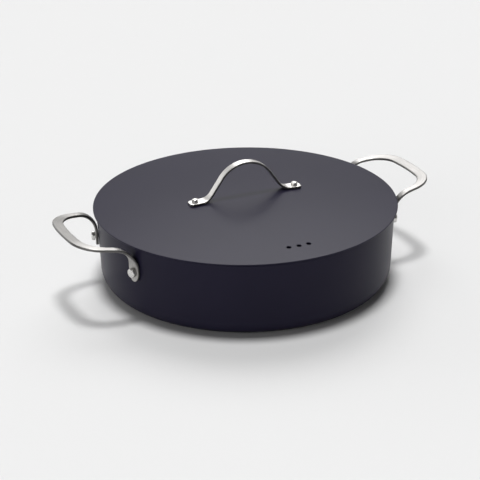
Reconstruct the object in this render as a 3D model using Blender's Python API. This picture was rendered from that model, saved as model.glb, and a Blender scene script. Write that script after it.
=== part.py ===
"""Saute pan: a low round pan with two riveted loop handles and a riveted, vented lid.

Metres, +Z up. The origin is the middle of the flat underside. The two loop handles lie
along X, the steam vents are on the -Y side, and the lid lifts straight up.
"""
import bpy
import bmesh
from math import asin, atan, cos, degrees, pi, radians, sin, tan
from mathutils import Matrix, Vector

# Pan shell
RIM_RADIUS = 0.1528
PAN_HEIGHT = 0.078
WALL_LEAN_DEG = 2.4
WALL_THICKNESS = 0.003
BASE_THICKNESS = 0.0045
CORNER_RADIUS = 0.0165
RIM_ROUND = 0.001

# Lid
LID_OVERHANG = 0.0032
LID_THICKNESS = 0.0023
LID_DOME_RISE = 0.0071
LID_EDGE_ROUND = 0.001
LIP_CLEARANCE = 0.001
LIP_THICKNESS = 0.0022
LIP_DEPTH = 0.005
LID_TURN_DEG = -2.5

# Steam vents in the lid
VENT_COUNT = 3
VENT_RADIUS = 0.0025
VENT_PITCH = 0.0105
VENT_INSET = 0.0276

# Side handles: one flat bar, bent to a loop
BAR_WIDTH = 0.0110
ARM_WIDTH = 0.0080
BAR_THICKNESS = 0.0029
BAR_EDGE_ROUND = 0.0011
LOOP_REACH = 0.0431
LOOP_RISE_DEG = 7.5
LOOP_CORNER_RADIUS = 0.028
LOOP_BOW_DEG = 6.0
ARM_SPLAY_DEG = 10.5
PAD_ANGLE_DEG = 19.0
PAD_WIDTH = 0.0134
PAD_TIP = 0.0104
PAD_TIP_CUT_DEG = 14.0
PAD_ABOVE_RIVET = 0.0052
PAD_BEND_RADIUS = 0.0218
SIDE_RIVET_HEIGHT = 0.0523

# Lid handle: one strap, bent to an arch
STRAP_WIDTH = 0.0084
STRAP_THICKNESS = 0.0022
STRAP_EDGE_ROUND = 0.0005
STRAP_LIMB_DEG = 55.0
STRAP_TOP_RADIUS = 0.0324
STRAP_FOOT_BEND = 0.015
FINGER_ROOM = 0.035
FOOT_WIDTH = 0.012
FOOT_TIP = 0.0065
FOOT_CLIP = 0.0022
LID_RIVET_SPACING = 0.1106

# Rivets: a button head outside, a low domed tail inside
SIDE_RIVET_HEAD_RADIUS = 0.0048
SIDE_RIVET_HEAD_HEIGHT = 0.0038
SIDE_RIVET_HEAD_ROUND = 0.0013
SIDE_RIVET_TAIL_RADIUS = 0.0056
SIDE_RIVET_TAIL_HEIGHT = 0.0018
SIDE_RIVET_SHANK_RADIUS = 0.0026
LID_RIVET_HEAD_RADIUS = 0.0034
LID_RIVET_HEAD_HEIGHT = 0.0034
LID_RIVET_HEAD_ROUND = 0.0014
LID_RIVET_TAIL_RADIUS = 0.0046
LID_RIVET_TAIL_HEIGHT = 0.0014
LID_RIVET_SHANK_RADIUS = 0.0018

# Clearances between separate pieces
SEAT_GAP = 0.0003
SHANK_GAP = 0.0003

# How far a drill runs past the pieces that it goes through
DRILL_RUN_OUT = 0.001

# An edge round takes at most this share of the bar's half width or half thickness
ROUND_LIMIT = 0.9

# Points closer than this are one point
SAME_POINT = 1e-6

# Facets
TURN_STEPS = 80
RIVET_STEPS = 16
CORNER_STEPS = 6
DOME_STEPS = 6
EDGE_STEPS = 3
TAIL_STEPS = 4
BAR_EDGE_STEPS = 2
STRAP_EDGE_STEPS = 1
PAD_TIP_STEPS = 7
PAD_BEND_STEPS = 12
LOOP_CORNER_STEPS = 9
LOOP_BOW_STEPS = 2
FOOT_BEND_STEPS = 7
ARCH_STEPS = 9

# Sizes that follow from the ones above
WALL_LEAN = radians(WALL_LEAN_DEG)
INNER_RIM_RADIUS = RIM_RADIUS - WALL_THICKNESS / cos(WALL_LEAN)
LID_RADIUS = RIM_RADIUS + LID_OVERHANG
LID_SEAT_Z = PAN_HEIGHT + SEAT_GAP
LID_EDGE_Z = LID_SEAT_Z + LID_THICKNESS
LIP_OUTER_RADIUS = INNER_RIM_RADIUS - LIP_CLEARANCE
LIP_INNER_RADIUS = LIP_OUTER_RADIUS - LIP_THICKNESS
VENT_RING_RADIUS = LID_RADIUS - VENT_INSET
X, Y, Z = Vector((1, 0, 0)), Vector((0, 1, 0)), Vector((0, 0, 1))


def clear_scene():
    for obj in list(bpy.data.objects):
        bpy.data.objects.remove(obj)


def material(name, colour, roughness, metallic):
    """A Principled material with the part's colour, roughness and metallic value."""
    result = bpy.data.materials.new(name)
    result.use_nodes = True
    shader = result.node_tree.nodes["Principled BSDF"]
    shader.inputs["Base Color"].default_value = (*colour, 1.0)
    shader.inputs["Roughness"].default_value = roughness
    shader.inputs["Metallic"].default_value = metallic
    return result


def new_object(name, bm, finish, smooth_deg=30.0):
    """Turn a bmesh into an object in the scene, shaded smooth over its round stretches."""
    bmesh.ops.recalc_face_normals(bm, faces=bm.faces)
    mesh = bpy.data.meshes.new(name)
    bm.to_mesh(mesh)
    bm.free()
    mesh.shade_smooth()
    mesh.set_sharp_from_angle(angle=radians(smooth_deg))
    obj = bpy.data.objects.new(name, mesh)
    bpy.context.scene.collection.objects.link(obj)
    if finish:
        mesh.materials.append(finish)
    return obj


def arc(centre, radius, start_deg, end_deg, steps):
    """Points (r, z) of an arc in the profile plane, both ends included."""
    points = []
    for i in range(steps + 1):
        angle = radians(start_deg + (end_deg - start_deg) * i / steps)
        points.append((centre[0] + radius * cos(angle), centre[1] + radius * sin(angle)))
    return points


def turned(name, profile, steps, finish=None):
    """Spin a profile, which starts and ends on the Z axis, into a closed solid."""
    bm = bmesh.new()
    verts = [bm.verts.new((r, 0, z)) for r, z in profile]
    edges = [bm.edges.new(pair) for pair in zip(verts, verts[1:])]
    bmesh.ops.spin(bm, geom=verts + edges, cent=(0, 0, 0), axis=(0, 0, 1),
                   angle=2 * pi, steps=steps, use_merge=True)
    bmesh.ops.remove_doubles(bm, verts=bm.verts, dist=SAME_POINT)
    return new_object(name, bm, finish)


def drills(name, frames, radius, thickness):
    """One hidden cutter with a rod at each frame, long enough for a thickness on each side."""
    bm = bmesh.new()
    for frame in frames:
        bmesh.ops.create_cone(bm, cap_ends=True, segments=RIVET_STEPS, radius1=radius,
                              radius2=radius, depth=2 * (thickness + DRILL_RUN_OUT), matrix=frame)
    cutter = new_object(name, bm, None)
    cutter.hide_render = True
    cutter.display_type = "WIRE"
    return cutter


def cut(target, cutter):
    boolean = target.modifiers.new(cutter.name, "BOOLEAN")
    boolean.operation = "DIFFERENCE"
    boolean.object = cutter


def frame_at(origin, out, up):
    """A matrix at origin whose Z axis points along out."""
    across = up.cross(out).normalized()
    ahead = out.cross(across)
    rows = Matrix((across, ahead, out)).transposed()
    return Matrix.Translation(origin) @ rows.to_4x4()


def wall_radius(z):
    """Outer radius of the leaning wall at a height above its corner."""
    return RIM_RADIUS - (PAN_HEIGHT - z) * tan(WALL_LEAN)


def wall_frame(angle_deg, z):
    """A frame on the wall's outer face: Z points out of the wall."""
    angle = radians(angle_deg)
    outward = Vector((cos(angle), sin(angle), 0))
    point = outward * wall_radius(z) + Z * z
    normal = outward * cos(WALL_LEAN) - Z * sin(WALL_LEAN)
    return frame_at(point, normal, Z)


def dome_z(r):
    """Height of the lid's top face, a shallow dome that falls to the lid's edge."""
    return LID_EDGE_Z + LID_DOME_RISE * (1 - (r / LID_RADIUS) ** 2)


def dome_fall(r):
    """Angle by which the lid's top face falls away at a radius."""
    return atan(2 * LID_DOME_RISE * r / LID_RADIUS ** 2)


def dome_frame(angle, r):
    """A frame on the lid's top face: Z points out of the lid."""
    outward = Vector((cos(angle), sin(angle), 0))
    normal = outward * sin(dome_fall(r)) + Z * cos(dome_fall(r))
    return frame_at(outward * r + Z * dome_z(r), normal, Y)


def make_pan_body(finish):
    """The shell: a flat base, a round corner and a wall that leans out to a rounded rim."""
    foot_radius = wall_radius(0) - CORNER_RADIUS * (1 / cos(WALL_LEAN) - tan(WALL_LEAN))
    outer_corner = arc((foot_radius, CORNER_RADIUS), CORNER_RADIUS, -WALL_LEAN_DEG, -90,
                       CORNER_STEPS)
    inner_round = CORNER_RADIUS - WALL_THICKNESS
    inner_corner = arc((foot_radius, BASE_THICKNESS + inner_round), inner_round, -90,
                       -WALL_LEAN_DEG, CORNER_STEPS)
    rim_inside = arc((INNER_RIM_RADIUS + RIM_ROUND, PAN_HEIGHT - RIM_ROUND), RIM_ROUND, 180, 90,
                     EDGE_STEPS)
    rim_outside = arc((RIM_RADIUS - RIM_ROUND, PAN_HEIGHT - RIM_ROUND), RIM_ROUND, 90, 0,
                      EDGE_STEPS)
    profile = [(0, BASE_THICKNESS)] + inner_corner + rim_inside + rim_outside + outer_corner + [(0, 0)]
    return turned("pan_body", profile, TURN_STEPS, finish)


def make_lid(finish):
    """The lid: a shallow dome whose edge overhangs the rim, with a locating lip below."""
    top = [(LIP_OUTER_RADIUS * i / DOME_STEPS, dome_z(LIP_OUTER_RADIUS * i / DOME_STEPS))
           for i in range(DOME_STEPS + 1)]
    fall = dome_fall(LID_RADIUS)
    round_r = LID_RADIUS - LID_EDGE_ROUND
    round_z = dome_z(round_r + LID_EDGE_ROUND * sin(fall)) - LID_EDGE_ROUND * cos(fall)
    edge = arc((round_r, round_z), LID_EDGE_ROUND, 90 - degrees(fall), 0, EDGE_STEPS)
    low_edge = arc((round_r, LID_SEAT_Z + LID_EDGE_ROUND), LID_EDGE_ROUND, 0, -90, EDGE_STEPS)
    lip_z = LID_SEAT_Z - LIP_DEPTH
    lip = [(LIP_OUTER_RADIUS, LID_SEAT_Z), (LIP_OUTER_RADIUS, lip_z), (LIP_INNER_RADIUS, lip_z)]
    under = [(LIP_INNER_RADIUS * i / DOME_STEPS,
              dome_z(LIP_INNER_RADIUS * i / DOME_STEPS) - LID_THICKNESS)
             for i in range(DOME_STEPS, -1, -1)]
    return turned("lid", top + edge + low_edge + lip + under, TURN_STEPS, finish)


def rivet_profile(head, tail, shank_radius, head_seat, tail_seat):
    """Half outline of a rivet: a button head, its shank and a low domed tail."""
    head_radius, head_height, head_round = head
    tail_radius, tail_height = tail
    crown = arc((head_radius - head_round, head_seat + head_height - head_round), head_round,
                90, 0, EDGE_STEPS)
    dome_radius = (tail_radius ** 2 + tail_height ** 2) / (2 * tail_height)
    dome_centre = tail_seat - tail_height + dome_radius
    half_angle = degrees(asin(tail_radius / dome_radius))
    dome = arc((0, dome_centre), dome_radius, half_angle - 90, -90, TAIL_STEPS)
    shank = [(head_radius, head_seat), (shank_radius, head_seat), (shank_radius, tail_seat)]
    return [(0, head_seat + head_height)] + crown + shank + dome


def section(half_width, half_height, corner, corner_steps):
    """Points (across, up) of a rounded rectangle, in order round its outline."""
    round_off = min(corner, half_width * ROUND_LIMIT, half_height * ROUND_LIMIT)
    points = []
    for quarter in range(4):
        turn = quarter * pi / 2
        cx = (half_width - round_off) * (1 if quarter in (0, 3) else -1)
        cy = (half_height - round_off) * (1 if quarter in (0, 1) else -1)
        for i in range(corner_steps + 1):
            angle = turn + (pi / 2) * i / corner_steps
            points.append((cx + round_off * cos(angle), cy + round_off * sin(angle)))
    return points


def swept(name, stations, thickness, edge_round, corner_steps, finish):
    """Loft a rounded bar through stations of (centre, side, normal, width, dish)."""
    bm = bmesh.new()
    rings = []
    for centre, side, normal, width, dish in stations:
        ring = []
        for across, up in section(width / 2, thickness / 2, edge_round, corner_steps):
            point = centre + side * across + normal * (up + dish * across ** 2)
            ring.append(bm.verts.new(point))
        rings.append(ring)
    for low, high in zip(rings, rings[1:]):
        for i in range(len(low)):
            j = (i + 1) % len(low)
            bm.faces.new((low[i], low[j], high[j], high[i]))
    bm.faces.new(rings[0])
    bm.faces.new(rings[-1])
    return new_object(name, bm, finish)


def eased(share):
    """Smooth step from 0 to 1."""
    share = min(max(share, 0.0), 1.0)
    return (1 - cos(pi * share)) / 2


def half_loop():
    """Stations of one half of a side handle, from the pad's tip to the middle of the bar.

    The pad stands on the wall, dished to the wall's curve. Above the rivet the bar bends
    outwards and twists, so that its inner face becomes the top face of the loop, which lies
    in one plane.
    """
    rise, splay, bow = radians(LOOP_RISE_DEG), radians(ARM_SPLAY_DEG), radians(LOOP_BOW_DEG)
    wall = wall_frame(PAD_ANGLE_DEG, SIDE_RIVET_HEIGHT)
    outward = wall.col[2].to_3d()
    up_wall = wall.col[1].to_3d()
    rivet = wall.translation + outward * (SEAT_GAP + BAR_THICKNESS / 2)
    dish = 1 / (2 * wall_radius(SIDE_RIVET_HEIGHT))
    side = -wall.col[0].to_3d()
    stations = []

    # Pad: an elliptical tip, widest at the rivet
    for i in range(PAD_TIP_STEPS + 1):
        angle = radians(PAD_TIP_CUT_DEG + (90 - PAD_TIP_CUT_DEG) * i / PAD_TIP_STEPS)
        centre = rivet - up_wall * PAD_TIP * cos(angle)
        stations.append((centre, side, -outward, PAD_WIDTH * sin(angle), dish))

    # Bend and twist, by turning the bar's own axes at an even rate. The pad's width and dish
    # run out over the first half of the bend.
    loop_plane_out = X * cos(rise) + Z * sin(rise)
    loop_normal = Z * cos(rise) - X * sin(rise)
    arm = loop_plane_out * cos(splay) - Y * sin(splay)
    start = Matrix((side, up_wall, side.cross(up_wall))).transposed().to_quaternion()
    arm_side = arm.cross(loop_normal)
    end = Matrix((arm_side, arm, arm_side.cross(arm))).transposed().to_quaternion()
    step_length = PAD_BEND_RADIUS * start.rotation_difference(end).angle / PAD_BEND_STEPS
    centre = rivet + up_wall * PAD_ABOVE_RIVET
    for i in range(PAD_BEND_STEPS + 1):
        axes = start.slerp(end, i / PAD_BEND_STEPS).to_matrix()
        if i:
            between = start.slerp(end, (i - 0.5) / PAD_BEND_STEPS).to_matrix()
            centre = centre + between.col[1] * step_length
        run_out = eased(2 * i / PAD_BEND_STEPS)
        width = PAD_WIDTH + (ARM_WIDTH - PAD_WIDTH) * run_out
        stations.append((centre, axes.col[0], axes.col[2], width, dish * (1 - run_out)))

    # Arm: its length puts the middle of the outer bar at its reach
    corner_out = LOOP_CORNER_RADIUS * (cos(bow) - sin(splay))
    corner_in = LOOP_CORNER_RADIUS * (cos(splay) - sin(bow))
    bow_share = tan(bow / 2)
    to_go = (RIM_RADIUS + LOOP_REACH - centre.x) / cos(rise)
    arm_length = (to_go - corner_out - (centre.y - corner_in) * bow_share)
    arm_length /= cos(splay) - sin(splay) * bow_share
    centre = centre + arm * arm_length

    # Corner and bowed outer bar, both arcs in the plane of the loop
    bar_radius = (centre.y - corner_in) / sin(bow)
    for radius, first, last, steps in ((LOOP_CORNER_RADIUS, splay, pi / 2 - bow, LOOP_CORNER_STEPS),
                                       (bar_radius, pi / 2 - bow, pi / 2, LOOP_BOW_STEPS)):
        pivot = centre - radius * (loop_plane_out * sin(first) + Y * cos(first))
        for i in range(steps + 1):
            heading = first + (last - first) * i / steps
            centre = pivot + radius * (loop_plane_out * sin(heading) + Y * cos(heading))
            along = loop_plane_out * cos(heading) - Y * sin(heading)
            width = BAR_WIDTH + (ARM_WIDTH - BAR_WIDTH) * eased(1 - sin(heading))
            stations.append((centre, along.cross(loop_normal), loop_normal, width, 0.0))
    return without_repeats(stations)


def without_repeats(stations):
    """Leave out a station that lies on the one before it."""
    kept = stations[:1]
    for station in stations[1:]:
        if (station[0] - kept[-1][0]).length > SAME_POINT:
            kept.append(station)
    return kept


def mirrored(stations, axis):
    """The same stations on the other side of the plane square to an axis, in reverse."""
    def flip(vector):
        return vector - 2 * axis * vector.dot(axis)
    return [(flip(c), flip(s), flip(n), w, d) for c, s, n, w, d in reversed(stations)]


def make_side_handle(name, finish):
    """A bent bar with a pad at each end, drilled for its rivets."""
    half = half_loop()
    return swept(name, half + mirrored(half[:-1], Y), BAR_THICKNESS, BAR_EDGE_ROUND,
                 BAR_EDGE_STEPS, finish)


def half_strap():
    """Stations of one half of the lid handle, from the foot's tip to the top of the arch."""
    foot = dome_frame(pi, LID_RIVET_SPACING / 2)
    foot_slope = dome_fall(LID_RIVET_SPACING / 2)
    limb = radians(STRAP_LIMB_DEG)
    rivet = foot.translation + foot.col[2].to_3d() * (SEAT_GAP + STRAP_THICKNESS / 2)
    top_z = dome_z(0) + FINGER_ROOM + STRAP_THICKNESS / 2

    # Places of the bends, worked out from the top down
    arch_start = Vector((-STRAP_TOP_RADIUS * sin(limb), 0,
                         top_z - STRAP_TOP_RADIUS * (1 - cos(limb))))
    bend_run = STRAP_FOOT_BEND * (sin(limb) - sin(foot_slope))
    bend_climb = STRAP_FOOT_BEND * (cos(foot_slope) - cos(limb))
    climb = arch_start.z - rivet.z - bend_climb
    reach = arch_start.x - rivet.x - bend_run
    foot_run = (reach * tan(limb) - climb) / (tan(limb) - tan(foot_slope))
    bend_start = rivet + Vector((foot_run, 0, foot_run * tan(foot_slope)))

    stations = []
    tip = rivet - Vector((cos(foot_slope), 0, sin(foot_slope))) * FOOT_TIP
    clip_end = tip + (rivet - tip).normalized() * FOOT_CLIP

    def add(centre, pitch, width):
        normal = Vector((-sin(pitch), 0, cos(pitch)))
        stations.append((centre, -Y, normal, width, 0.0))

    add(tip, foot_slope, FOOT_WIDTH - 2 * FOOT_CLIP)
    add(clip_end, foot_slope, FOOT_WIDTH)
    add(rivet, foot_slope, FOOT_WIDTH)
    for i in range(FOOT_BEND_STEPS + 1):
        pitch = foot_slope + (limb - foot_slope) * i / FOOT_BEND_STEPS
        centre = bend_start + STRAP_FOOT_BEND * Vector(
            (sin(pitch) - sin(foot_slope), 0, cos(foot_slope) - cos(pitch)))
        add(centre, pitch, FOOT_WIDTH + (STRAP_WIDTH - FOOT_WIDTH) * eased(i / FOOT_BEND_STEPS))
    for i in range(ARCH_STEPS + 1):
        pitch = limb * (1 - i / ARCH_STEPS)
        centre = Vector((-STRAP_TOP_RADIUS * sin(pitch), 0,
                         top_z - STRAP_TOP_RADIUS * (1 - cos(pitch))))
        add(centre, pitch, STRAP_WIDTH)
    return without_repeats(stations)


def make_lid_handle(name, finish):
    """The arched strap with a drilled foot at each end."""
    half = half_strap()
    return swept(name, half + mirrored(half[:-1], X), STRAP_THICKNESS, STRAP_EDGE_ROUND,
                 STRAP_EDGE_STEPS, finish)


def build():
    clear_scene()
    anodised = material("anodised_aluminium", (0.035, 0.033, 0.045), 0.45, 0.6)
    steel = material("brushed_steel", (0.62, 0.60, 0.57), 0.35, 1.0)
    rivet_steel = material("rivet_steel", (0.60, 0.59, 0.58), 0.3, 1.0)

    # Pan, its two handles and their four rivets
    pan_body = make_pan_body(anodised)
    side_angles = [base + sign * PAD_ANGLE_DEG for base in (0, 180) for sign in (1, -1)]
    side_frames = [wall_frame(angle, SIDE_RIVET_HEIGHT) for angle in side_angles]
    side_drill = drills("side_rivet_holes", side_frames, SIDE_RIVET_SHANK_RADIUS + SHANK_GAP,
                        WALL_THICKNESS + SEAT_GAP + BAR_THICKNESS)
    cut(pan_body, side_drill)
    right_handle = make_side_handle("right_side_handle", steel)
    left_handle = bpy.data.objects.new("left_side_handle", right_handle.data)
    bpy.context.scene.collection.objects.link(left_handle)
    left_handle.rotation_euler.z = pi
    for handle in (right_handle, left_handle):
        cut(handle, side_drill)
    profile = rivet_profile((SIDE_RIVET_HEAD_RADIUS, SIDE_RIVET_HEAD_HEIGHT, SIDE_RIVET_HEAD_ROUND),
                            (SIDE_RIVET_TAIL_RADIUS, SIDE_RIVET_TAIL_HEIGHT),
                            SIDE_RIVET_SHANK_RADIUS, 2 * SEAT_GAP + BAR_THICKNESS,
                            -WALL_THICKNESS - SEAT_GAP)
    names = ("right_rear_rivet", "right_front_rivet", "left_front_rivet", "left_rear_rivet")
    for name, frame in zip(names, side_frames):
        turned(name, profile, RIVET_STEPS, rivet_steel).matrix_world = frame

    # Lid group, turned a little on the rim and carried by its lifting axis
    lid_axis = bpy.data.objects.new("lid_axis", None)
    bpy.context.scene.collection.objects.link(lid_axis)
    lid_axis.rotation_euler.z = radians(LID_TURN_DEG)
    lid = make_lid(anodised)
    lid_handle = make_lid_handle("lid_handle", steel)
    lid_frames = [dome_frame(angle, LID_RIVET_SPACING / 2) for angle in (pi, 0)]
    lid_drill = drills("lid_rivet_holes", lid_frames, LID_RIVET_SHANK_RADIUS + SHANK_GAP,
                       LID_THICKNESS + SEAT_GAP + STRAP_THICKNESS)
    vent_frames = []
    for i in range(VENT_COUNT):
        angle = -pi / 2 + (i - (VENT_COUNT - 1) / 2) * VENT_PITCH / VENT_RING_RADIUS
        vent_frames.append(dome_frame(angle, VENT_RING_RADIUS))
    vent_drill = drills("vent_holes", vent_frames, VENT_RADIUS, LID_THICKNESS)
    cut(lid, lid_drill)
    cut(lid, vent_drill)
    cut(lid_handle, lid_drill)
    profile = rivet_profile((LID_RIVET_HEAD_RADIUS, LID_RIVET_HEAD_HEIGHT, LID_RIVET_HEAD_ROUND),
                            (LID_RIVET_TAIL_RADIUS, LID_RIVET_TAIL_HEIGHT),
                            LID_RIVET_SHANK_RADIUS, 2 * SEAT_GAP + STRAP_THICKNESS,
                            -LID_THICKNESS - SEAT_GAP)
    lid_pieces = [lid, lid_handle, lid_drill, vent_drill]
    for name, frame in zip(("lid_left_rivet", "lid_right_rivet"), lid_frames):
        rivet = turned(name, profile, RIVET_STEPS, rivet_steel)
        rivet.matrix_world = frame
        lid_pieces.append(rivet)
    for piece in lid_pieces:
        piece.parent = lid_axis


build()
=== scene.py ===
# %% [markdown]
# # A saute pan with two loop handles and a vented lid
#
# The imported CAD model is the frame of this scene. It says where each piece is and how large.
# Here every piece is modelled again with a smooth surface, as one would by hand in Blender,
# and gets its finish: dark hard-anodised aluminium, brushed steel, or satin steel.

# %% Load the frame
from math import asin, atan, cos, degrees, pi, radians, sin, sqrt, tan

import bmesh
import bpy
import numpy as np
from mathutils import Matrix, Vector


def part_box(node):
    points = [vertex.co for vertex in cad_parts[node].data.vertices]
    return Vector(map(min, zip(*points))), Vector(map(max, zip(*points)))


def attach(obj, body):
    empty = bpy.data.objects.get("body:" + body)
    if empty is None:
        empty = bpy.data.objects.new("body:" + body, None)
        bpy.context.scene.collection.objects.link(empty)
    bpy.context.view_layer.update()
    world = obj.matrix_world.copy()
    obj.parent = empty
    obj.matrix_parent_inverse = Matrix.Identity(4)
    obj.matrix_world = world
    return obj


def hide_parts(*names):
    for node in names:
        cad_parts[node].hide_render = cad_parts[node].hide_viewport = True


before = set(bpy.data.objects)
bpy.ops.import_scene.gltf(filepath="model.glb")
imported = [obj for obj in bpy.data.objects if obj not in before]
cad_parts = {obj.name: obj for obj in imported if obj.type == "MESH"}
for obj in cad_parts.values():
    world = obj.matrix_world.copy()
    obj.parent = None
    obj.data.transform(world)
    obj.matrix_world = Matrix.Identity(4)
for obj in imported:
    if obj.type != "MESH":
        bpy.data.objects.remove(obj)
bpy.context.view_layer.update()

print("nodes:", sorted(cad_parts))

# %% [markdown]
# ## Sizes of the shell
#
# The frame gives the radius and the height of the shell. The rest are the sizes that a maker
# would write on the drawing, in metres. Pieces that touch on the real pan lie a small gap
# apart here, as they do in the CAD model. The wall leans out a little, so its radius depends
# on the height. One small function says how. Another gives a frame on the wall, which is a
# place whose Z axis points straight out of it.

# %% Sizes of the shell
X, Y, Z = Vector((1, 0, 0)), Vector((0, 1, 0)), Vector((0, 0, 1))
pan_low, pan_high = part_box("pan_body")
RIM_RADIUS = pan_high.x
PAN_HEIGHT = pan_high.z
WALL_LEAN = radians(2.4)
WALL_THICKNESS = 0.003
BASE_THICKNESS = 0.0045
CORNER_RADIUS = 0.0165
RIM_ROUND = 0.001
SEAT_GAP = 0.0003
SHANK_GAP = 0.0003
print("rim radius", round(RIM_RADIUS, 4), "height", round(PAN_HEIGHT, 4))

# %% Places on the wall


def frame_at(origin, out, up):
    """A matrix at origin whose Z axis points along out."""
    across = up.cross(out).normalized()
    turn = Matrix((across, out.cross(across), out)).transposed()
    return Matrix.Translation(origin) @ turn.to_4x4()


def wall_radius(z):
    """Outer radius of the leaning wall."""
    return RIM_RADIUS - (PAN_HEIGHT - z) * tan(WALL_LEAN)


def wall_frame(angle, z):
    """A frame on the wall's outer face."""
    outward = Vector((cos(angle), sin(angle), 0))
    normal = outward * cos(WALL_LEAN) - Z * sin(WALL_LEAN)
    return frame_at(outward * wall_radius(z) + Z * z, normal, Z)


print("radius at the foot", round(wall_radius(0), 4))

# %% [markdown]
# ## Working in edit mode from a script
#
# Operators act on whatever is selected, and loading the frame leaves its nodes selected. So a
# piece is first made the only selected one. In edit mode, a test on each face or edge does
# what a click does by hand. Every piece ends the same way: its normals point out, its place
# is in its mesh, and it is shaded smooth except over sharp edges.

# %% Helpers for selecting
ON_LEVEL = 1e-5
ON_RING = 1e-4
LEVEL_NORMAL = 0.9


def alone(piece):
    """Make a piece the only selected one."""
    bpy.ops.object.select_all(action="DESELECT")
    piece.select_set(True)
    bpy.context.view_layer.objects.active = piece


def start(name):
    """Name the primitive that was just added, and go into edit mode."""
    piece = bpy.context.object
    piece.name = piece.data.name = name
    alone(piece)
    bpy.ops.object.mode_set(mode="EDIT")
    return piece


def pick(piece, kind, test):
    """Select the faces or edges that pass a test, and nothing else."""
    bpy.ops.mesh.select_mode(type={"faces": "FACE", "edges": "EDGE"}[kind])
    bpy.ops.mesh.select_all(action="DESELECT")
    shape = bmesh.from_edit_mesh(piece.data)
    for part in getattr(shape, kind):
        if test(part):
            part.select_set(True)
    bmesh.update_edit_mesh(piece.data)


def looks_up(face):
    """A test for the faces that look up."""
    return face.normal.z > LEVEL_NORMAL


def ring_at(z, radius):
    """A test for the edges of a level ring."""
    def test(edge):
        return all(abs(v.co.z - z) < ON_LEVEL and abs(v.co.xy.length - radius) < ON_RING
                   for v in edge.verts)
    return test


print("nodes selected after loading:", len(bpy.context.selected_objects))

# %% Helpers for rounding and finishing
SAME_POINT = 1e-6
SMOOTH_ANGLE = radians(35)


def round_ring(piece, z, radius, offset, steps):
    """Bevel a level ring of edges."""
    pick(piece, "edges", ring_at(z, radius))
    bpy.ops.mesh.bevel(offset=offset, offset_type="OFFSET", segments=steps, affect="EDGES",
                       clamp_overlap=False)


def finish(piece):
    """Leave edit mode with the normals out, the place in the mesh and smooth shading."""
    if piece.mode == "EDIT":
        bpy.ops.mesh.select_all(action="SELECT")
        bpy.ops.mesh.remove_doubles(threshold=SAME_POINT)
        bpy.ops.mesh.normals_make_consistent(inside=False)
        bpy.ops.object.mode_set(mode="OBJECT")
    alone(piece)
    bpy.ops.object.transform_apply(location=True, rotation=True, scale=True)
    bpy.ops.object.shade_smooth_by_angle(angle=SMOOTH_ANGLE)
    print(piece.name, len(piece.data.polygons), "faces")
    return piece


print("shading is smooth up to", round(degrees(SMOOTH_ANGLE)), "degrees")

# %% Helper for drilling
DRILL_STEPS = 48


def bore(piece, frames, radius, reach, chamfer=0.0):
    """Drill through a piece at each frame. A chamfer widens the drill at the surface."""
    for place in frames:
        bpy.ops.object.select_all(action="DESELECT")
        bpy.ops.mesh.primitive_cylinder_add(vertices=DRILL_STEPS, radius=radius, depth=2 * reach)
        drill = start("drill")
        if chamfer:
            pick(drill, "faces", looks_up)
            bpy.ops.transform.translate(value=(0, 0, -chamfer - reach))
            bpy.ops.mesh.extrude_region_move(
                TRANSFORM_OT_translate={"value": (0, 0, 2 * chamfer)})
            widen = 1 + 2 * chamfer / radius
            bpy.ops.transform.resize(value=(widen, widen, 1), center_override=(0, 0, 0))
            bpy.ops.mesh.extrude_region_move(
                TRANSFORM_OT_translate={"value": (0, 0, reach - chamfer)})
        bpy.ops.object.mode_set(mode="OBJECT")
        drill.matrix_world = place
        alone(piece)
        cut = piece.modifiers.new("bore", "BOOLEAN")
        cut.object = drill
        bpy.ops.object.modifier_apply(modifier=cut.name)
        bpy.data.objects.remove(drill)
    print(piece.name, "drilled", len(frames), "times")


# %% [markdown]
# ## The shell
#
# The real shell is pressed from one disc of aluminium: a flat base, a round corner, and a
# wall that leans out to a rounded rim. A spun outline would give it too. Here it starts as a
# cone, which already leans, because then each step is one that a beginner knows: inset the
# top face, push it down for the inside, and bevel the corners. Where a bevel meets a tall
# wall, smooth shading would smear across the wall, so a ring is cut close beside it. The two
# flats of the base get such a ring as well, then one further in and a middle point, so that
# neither stays one face with hundreds of corners.

# %% Hollow a cone
TURN_STEPS = 256

wall_across = WALL_THICKNESS / cos(WALL_LEAN)
bpy.ops.object.select_all(action="DESELECT")
bpy.ops.mesh.primitive_cone_add(vertices=TURN_STEPS, radius1=wall_radius(0), radius2=RIM_RADIUS,
                                depth=PAN_HEIGHT, location=(0, 0, PAN_HEIGHT / 2))
bpy.ops.object.transform_apply(location=True)
shell = start("pan_shell")

pick(shell, "faces", looks_up)
bpy.ops.mesh.inset(thickness=wall_across)
bpy.ops.mesh.extrude_region_move(
    TRANSFORM_OT_translate={"value": (0, 0, BASE_THICKNESS - PAN_HEIGHT)})
inner_foot = wall_radius(BASE_THICKNESS) - wall_across
shrink = inner_foot / (RIM_RADIUS - wall_across)
bpy.ops.transform.resize(value=(shrink, shrink, 1), center_override=(0, 0, BASE_THICKNESS))
print("radius of the foot inside", round(inner_foot, 4))

# %% Round the corners and the rim
CORNER_STEPS = 14
RIM_STEPS = 5
HOLD = 0.0012

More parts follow.
